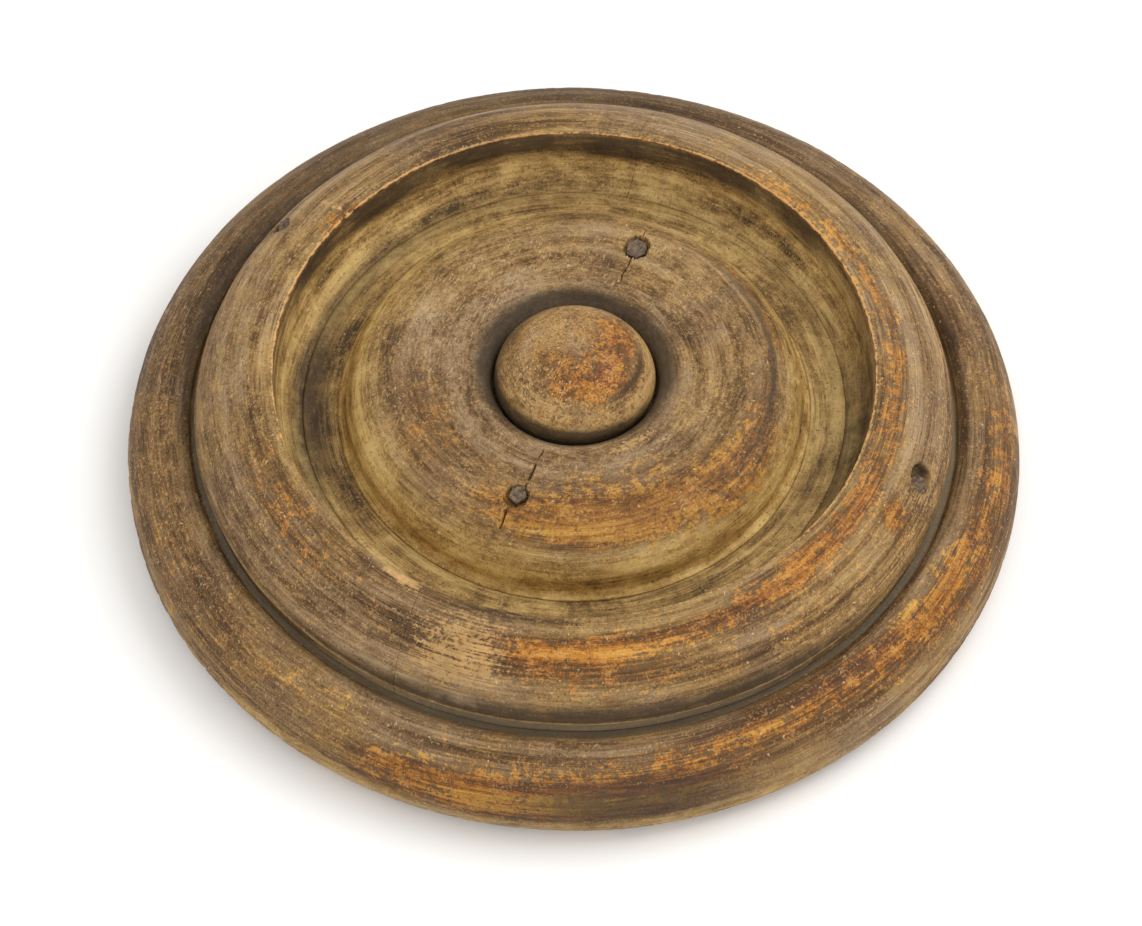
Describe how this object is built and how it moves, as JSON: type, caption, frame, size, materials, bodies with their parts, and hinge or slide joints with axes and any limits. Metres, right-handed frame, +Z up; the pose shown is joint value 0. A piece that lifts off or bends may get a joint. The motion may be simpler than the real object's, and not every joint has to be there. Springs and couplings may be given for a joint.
{
  "type": "cheese mold",
  "caption": "Round wooden cheese mold: a base board with a rounded edge, a raised rim, a ring-shaped curd channel, a nailed centre boss and a domed knob.",
  "frame": {"origin": "centre of the flat underside", "axes": "+Z up along the turning axis, through the knob; -Y is the front, +X the right"},
  "size_m": [0.3, 0.3, 0.0725],
  "materials": {
    "base_wood": "matte aged film over turned wood",
    "rim_wood": "matte aged film over turned wood, worn at the lip",
    "boss_wood": "matte aged film over turned wood",
    "knob_wood": "handled and worn turned wood",
    "wedge_wood": "split hardwood",
    "nail_iron": "forged and oxidised"
  },
  "bodies": {
    "root": {"base_board": "base_wood", "rim_board_left": "rim_wood", "rim_board_right": "rim_wood", "centre_boss": "boss_wood", "centre_knob": "knob_wood", "knob_wedge": "wedge_wood", "boss_nail_front": "nail_iron", "boss_nail_back": "nail_iron", "rim_nail_left": "nail_iron", "rim_nail_right": "nail_iron"}
  },
  "joints": []
}
